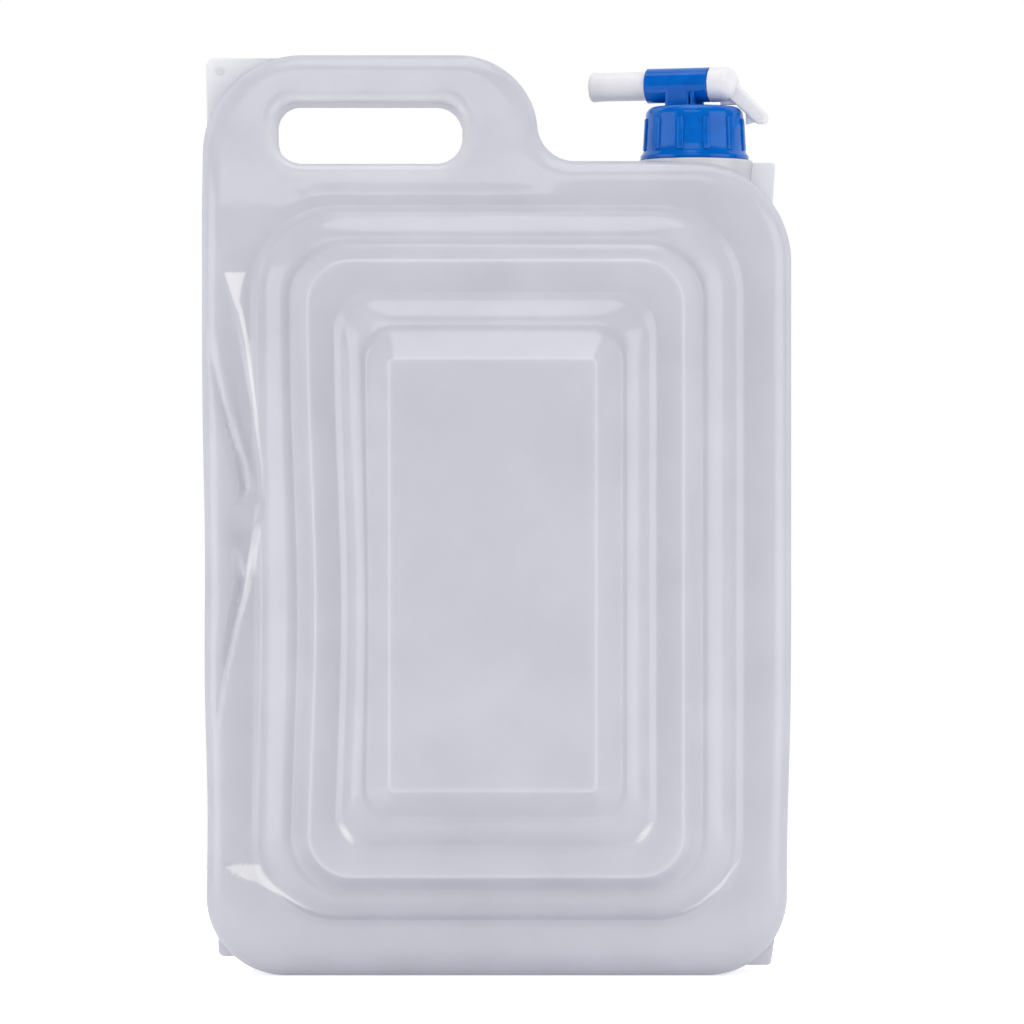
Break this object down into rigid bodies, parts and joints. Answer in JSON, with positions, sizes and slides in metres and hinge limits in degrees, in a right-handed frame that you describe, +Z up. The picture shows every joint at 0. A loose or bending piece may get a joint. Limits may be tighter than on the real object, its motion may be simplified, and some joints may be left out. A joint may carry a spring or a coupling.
{
  "type": "collapsible water carrier",
  "caption": "Flexible jerrycan that folds flat through telescoping steps on both faces, with a moulded hand slot and a screw cap that carries a turning tap.",
  "frame": {"origin": "on the floor under the middle of the bottle, halfway between the front and rear panels", "axes": "+Z up, +X towards the cap's side, -Y towards the front face, Y 0 on the mould's parting plane"},
  "size_m": [0.309, 0.186, 0.4846],
  "materials": {
    "milky_polyethylene": "satin, slightly see-through, soft moulded skin",
    "blue_polypropylene": "semi-gloss injection-moulded",
    "white_polypropylene": "semi-gloss injection-moulded",
    "white_sealing_foam": "matte closed-cell foam"
  },
  "bodies": {
    "bottle": {"front_band": "milky_polyethylene", "rear_band": "milky_polyethylene", "neck": "milky_polyethylene"},
    "front_ring": {"front_fold_ring": "milky_polyethylene"},
    "front_dish": {"front_panel": "milky_polyethylene"},
    "rear_ring": {"rear_fold_ring": "milky_polyethylene"},
    "rear_dish": {"rear_panel": "milky_polyethylene"},
    "washer": {"cap_gasket": "white_sealing_foam"},
    "cap": {"tap_cap": "blue_polypropylene"},
    "tap": {"tap_plug": "white_polypropylene"}
  },
  "joints": [
    {"name": "front_ring_fold", "type": "slide", "parent": "bottle", "child": "front_ring", "axis": [0, 1, 0], "range_m": [0, 0.036]},
    {"name": "front_panel_fold", "type": "slide", "parent": "front_ring", "child": "front_dish", "axis": [0, 1, 0], "range_m": [0, 0.032]},
    {"name": "rear_ring_fold", "type": "slide", "parent": "bottle", "child": "rear_ring", "axis": [0, -1, 0], "range_m": [0, 0.036]},
    {"name": "rear_panel_fold", "type": "slide", "parent": "rear_ring", "child": "rear_dish", "axis": [0, -1, 0], "range_m": [0, 0.032]},
    {"name": "cap_rise", "type": "slide", "parent": "bottle", "child": "washer", "axis": [0, 0, 1], "range_m": [0, 0.0421]},
    {"name": "cap_turn", "type": "hinge", "parent": "washer", "child": "cap", "pos_m": [0.1047, 0, 0.443], "axis": [0, 0, 1], "range_deg": [0, 2520]},
    {"name": "tap_turn", "type": "hinge", "parent": "cap", "child": "tap", "pos_m": [0.08012, 0.00751, 0.4692], "axis": [0.9563, -0.2924, 0], "continuous": true}
  ],
  "couplings": [
    {"joint": "cap_rise", "follows": "cap_turn", "m_per_rad": 0.00095493}
  ]
}
